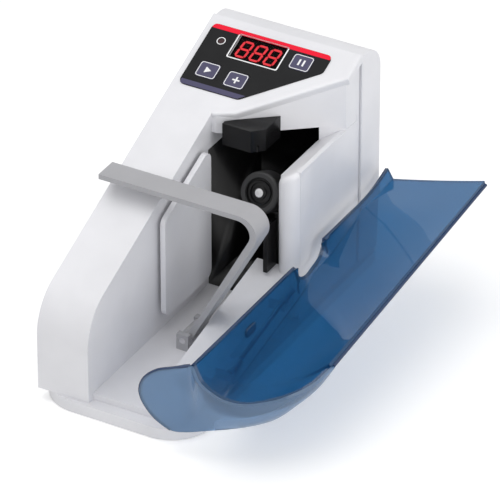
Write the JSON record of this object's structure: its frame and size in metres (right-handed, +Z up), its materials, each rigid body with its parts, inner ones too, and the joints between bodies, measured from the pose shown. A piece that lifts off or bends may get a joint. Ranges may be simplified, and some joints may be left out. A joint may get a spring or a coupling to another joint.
{
  "type": "banknote counting machine",
  "caption": "Wedge-shaped portable banknote counter with a sloping keypad head, open note channel, feed wheel, stack guide and hinged translucent catch tray.",
  "frame": {"origin": "centre of the base plate's underside", "axes": "+X to the machine's right, +Y to its back, +Z up"},
  "size_m": [0.133, 0.184, 0.1175],
  "materials": {
    "white_abs": "satin moulded white plastic",
    "grey_abs": "satin grey plastic",
    "blue_clear": "translucent blue plastic",
    "black_plastic": "black moulded plastic",
    "overlay_film": "printed keypad film",
    "key_plastic": "slate key caps",
    "window_clear": "smoked clear window",
    "board_green": "circuit board",
    "lamp_red": "indicator lamp",
    "rubber_black": "black rubber",
    "steel": "bright steel",
    "battery_skin": "plain battery sleeve",
    "brass_contact": "sprung contact plate"
  },
  "bodies": {
    "housing": {"base_plate": "white_abs", "rubber_feet": "rubber_black", "case_screws": "steel", "front_case": "white_abs", "head_cover": "white_abs", "rear_cover": "white_abs", "keypad_overlay": "overlay_film", "display_window": "window_clear", "led_display": "black_plastic", "indicator_lamp": "lamp_red", "control_board": "board_green", "tact_switches": "black_plastic", "battery_cells": "battery_skin", "battery_contacts": "brass_contact", "power_socket": "black_plastic", "drive_frame": "black_plastic", "shaft_bush": "brass_contact", "gear_motor": "steel", "feed_block": "black_plastic", "pusher_springs": "steel", "guide_pin": "steel", "guide_bracket": "white_abs", "hinge_pin": "steel", "hinge_brackets": "white_abs", "note_sensor": "black_plastic"},
    "feed": {"feed_wheel": "black_plastic", "feed_tyre": "rubber_black", "feed_shaft": "steel"},
    "pusher": {"pusher_plate": "white_abs"},
    "guide": {"bill_guide": "grey_abs"},
    "door": {"tray_door": "blue_clear"},
    "start_button": {"start_key": "key_plastic"},
    "add_button": {"add_key": "key_plastic"},
    "mode_button": {"mode_key": "key_plastic"},
    "battery_hatch": {"battery_door": "white_abs"}
  },
  "joints": [
    {"name": "feed_spin", "type": "hinge", "parent": "housing", "child": "feed", "pos_m": [0.017, 0.0145, 0.06904], "axis": [0, 0.9063, -0.4226], "continuous": true},
    {"name": "pusher_slide", "type": "slide", "parent": "housing", "child": "pusher", "axis": [1, 0, 0], "range_m": [0, 0.011]},
    {"name": "guide_swing", "type": "hinge", "parent": "housing", "child": "guide", "pos_m": [0.005, -0.0245, 0.014], "axis": [0, 1, 0], "range_deg": [-5, 0], "stiffness_Nm_per_rad": 0.2, "springref_deg": 20.05},
    {"name": "door_swing", "type": "hinge", "parent": "housing", "child": "door", "pos_m": [0.041, -0.0299, 0.02738], "axis": [0, -0.9767, -0.2147], "range_deg": [0, 50]},
    {"name": "start_press", "type": "slide", "parent": "housing", "child": "start_button", "axis": [0, 0.3907, -0.9205], "range_m": [0, 0.0006], "stiffness_N_per_m": 400},
    {"name": "add_press", "type": "slide", "parent": "housing", "child": "add_button", "axis": [0, 0.3907, -0.9205], "range_m": [0, 0.0006], "stiffness_N_per_m": 400},
    {"name": "mode_press", "type": "slide", "parent": "housing", "child": "mode_button", "axis": [0, 0.3907, -0.9205], "range_m": [0, 0.0006], "stiffness_N_per_m": 400},
    {"name": "battery_door_pull", "type": "slide", "parent": "housing", "child": "battery_hatch", "axis": [0, 1, 0], "range_m": [0, 0.02]}
  ]
}
